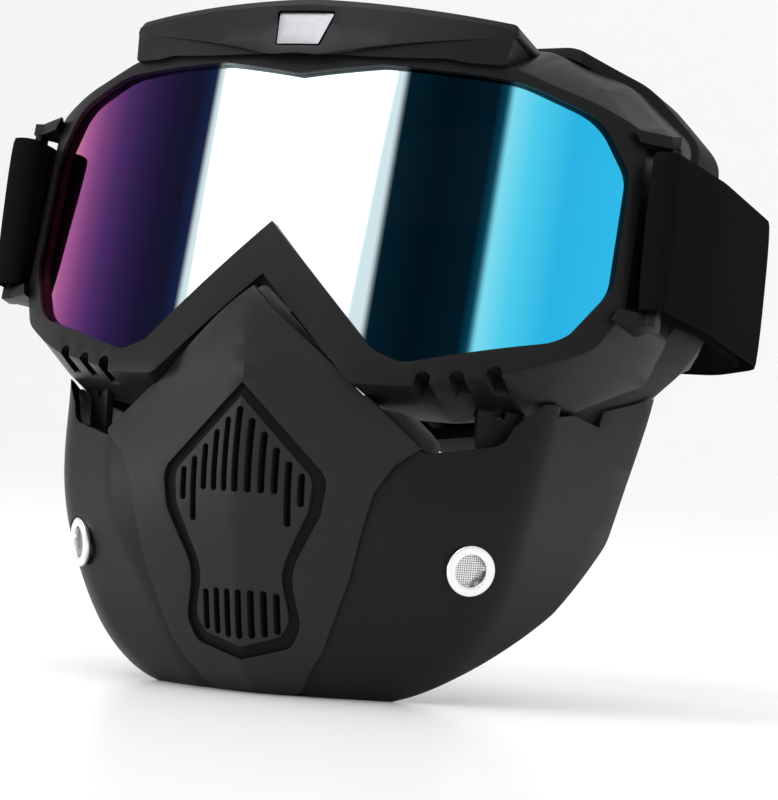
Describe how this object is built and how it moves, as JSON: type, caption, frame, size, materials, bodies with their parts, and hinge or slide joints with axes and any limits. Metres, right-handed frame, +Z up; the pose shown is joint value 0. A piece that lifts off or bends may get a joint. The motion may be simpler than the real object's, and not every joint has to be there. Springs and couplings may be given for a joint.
{
  "type": "motorcycle goggles with detachable face mask",
  "caption": "Wide mirrored riding goggles with a foam face seal, an elastic head strap and a hard lower face mask that pulls off downwards.",
  "frame": {"origin": "on the middle plane where the eye line meets the face seal", "axes": "+X towards the wearer's left, -Y forwards out of the lens, +Z up, as worn"},
  "size_m": [0.2098, 0.1558, 0.1948],
  "materials": {
    "frame_plastic": "satin moulded",
    "mask_plastic": "satin moulded",
    "grille_plastic": "fine texture",
    "skirt_rubber": "soft matte",
    "seal_rubber": "fine woven texture",
    "mirror_lens": "multicolour mirror coat",
    "foam": "fleece-faced foam",
    "filter_foam": "open-cell foam",
    "webbing": "woven elastic",
    "silicone": "satin",
    "badge_metal": "satin",
    "vent_metal": "polished"
  },
  "bodies": {
    "goggles": {"goggle_frame": "frame_plastic", "lens": "mirror_lens", "lens_gasket": "skirt_rubber", "face_skirt": "skirt_rubber", "face_foam": "foam", "brow_vent_foam": "filter_foam", "lower_vent_foam_left": "filter_foam", "lower_vent_foam_right": "filter_foam", "brow_visor": "frame_plastic", "badge_plate": "badge_metal", "side_bar_left": "frame_plastic", "side_bar_right": "frame_plastic", "strap_band": "webbing", "strap_grip": "silicone"},
    "mask": {"mask_shell": "mask_plastic", "centre_panel": "mask_plastic", "grille_insert": "grille_plastic", "grille_seal": "seal_rubber", "filter_pad": "filter_foam", "filter_keeper": "grille_plastic", "nose_foam": "foam", "mask_tab_left": "mask_plastic", "mask_tab_right": "mask_plastic", "vent_ring_left": "vent_metal", "vent_ring_right": "vent_metal", "vent_mesh_left": "vent_metal", "vent_mesh_right": "vent_metal", "vent_washer_left": "mask_plastic", "vent_washer_right": "mask_plastic"},
    "slider_left": {"strap_slider_left": "frame_plastic"},
    "slider_right": {"strap_slider_right": "frame_plastic"}
  },
  "joints": [
    {"name": "mask_release", "type": "slide", "parent": "goggles", "child": "mask", "axis": [0, 0, -1], "range_m": [0, 0.06]},
    {"name": "slider_left_adjust", "type": "slide", "parent": "goggles", "child": "slider_left", "axis": [1, 0, 0], "range_m": [-0.012, 0.012]},
    {"name": "slider_right_adjust", "type": "slide", "parent": "goggles", "child": "slider_right", "axis": [-1, 0, 0], "range_m": [-0.012, 0.012]}
  ]
}
